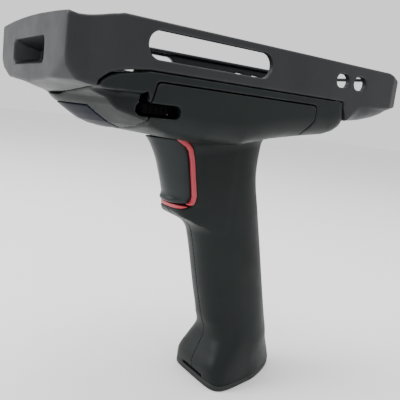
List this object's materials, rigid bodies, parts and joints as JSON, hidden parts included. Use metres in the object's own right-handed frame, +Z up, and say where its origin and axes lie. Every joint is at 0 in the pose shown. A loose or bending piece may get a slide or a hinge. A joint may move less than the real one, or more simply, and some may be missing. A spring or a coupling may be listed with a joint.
{
  "type": "pistol-grip scan handle",
  "caption": "Pistol-grip scan handle with a trigger, a sled and an open protective boot that holds a handheld computer for reading barcodes",
  "frame": {"origin": "centre of the bounding box in plan, at the flat sole of the grip's foot", "axes": "+X the user's left, -Y the nose that points at the barcode, +Z up"},
  "size_m": [0.082, 0.182, 0.17],
  "materials": {
    "boot_plastic": "satin moulded, fine spark texture",
    "sled_plastic": "satin moulded, fine spark texture",
    "shell_plastic": "satin moulded, fine spark texture",
    "trigger_plastic": "smooth satin",
    "smoked_cover": "smooth, dark navy",
    "bezel_red": "smooth satin",
    "catch_plastic": "black, ribbed",
    "cap_plastic": "matte, slightly grained",
    "bracket_plastic": "natural grey",
    "board_green": "solder mask",
    "switch_black": "moulded",
    "pad_rubber": "soft foam rubber",
    "cable_jacket": "smooth jacket",
    "steel": "ground",
    "spring_steel": "drawn wire",
    "brass": "knurled insert",
    "gold_contact": "polished gold plate"
  },
  "bodies": {
    "handle": {"boot_frame": "boot_plastic", "sled_tray": "sled_plastic", "chin_cover": "smoked_cover", "grip_shell_left": "shell_plastic", "grip_shell_right": "shell_plastic", "grip_screws": "steel", "grip_inserts": "brass", "saddle_screws": "steel", "trigger_bezel": "bezel_red", "trigger_pin": "steel", "mechanism_bracket": "bracket_plastic", "trigger_spring": "spring_steel", "trigger_switch": "switch_black", "switch_board": "board_green", "contact_block": "switch_black", "contact_barrels": "brass", "contact_board": "board_green", "switch_cable": "cable_jacket", "bay_pads": "pad_rubber", "tail_bumper": "pad_rubber", "base_cap": "cap_plastic"},
    "trigger": {"trigger": "trigger_plastic"},
    "button": {"switch_button": "switch_black"},
    "contacts": {"contact_pins": "gold_contact"},
    "catch_left": {"catch_left": "catch_plastic"},
    "catch_right": {"catch_right": "catch_plastic"}
  },
  "joints": [
    {"name": "trigger_pull", "type": "hinge", "parent": "handle", "child": "trigger", "pos_m": [0, -0.0155, 0.1215], "axis": [1, 0, 0], "range_deg": [0, 5], "stiffness_Nm_per_rad": 0.6, "springref_deg": -11.46, "deforming": ["trigger_spring"]},
    {"name": "button_press", "type": "slide", "parent": "handle", "child": "button", "axis": [0, 0, 1], "range_m": [0, 0.001]},
    {"name": "contacts_press", "type": "slide", "parent": "handle", "child": "contacts", "axis": [0, 0, 1], "range_m": [-0.0012, 0], "stiffness_N_per_m": 600, "springref_m": 0.001},
    {"name": "catch_left_slide", "type": "slide", "parent": "handle", "child": "catch_left", "axis": [0, 1, 0], "range_m": [0, 0.004], "stiffness_N_per_m": 400, "springref_m": -0.004},
    {"name": "catch_right_slide", "type": "slide", "parent": "handle", "child": "catch_right", "axis": [0, 1, 0], "range_m": [0, 0.004], "stiffness_N_per_m": 400, "springref_m": -0.004}
  ],
  "couplings": [
    {"joint": "button_press", "follows": "trigger_pull", "m_per_rad": 0.0105}
  ]
}
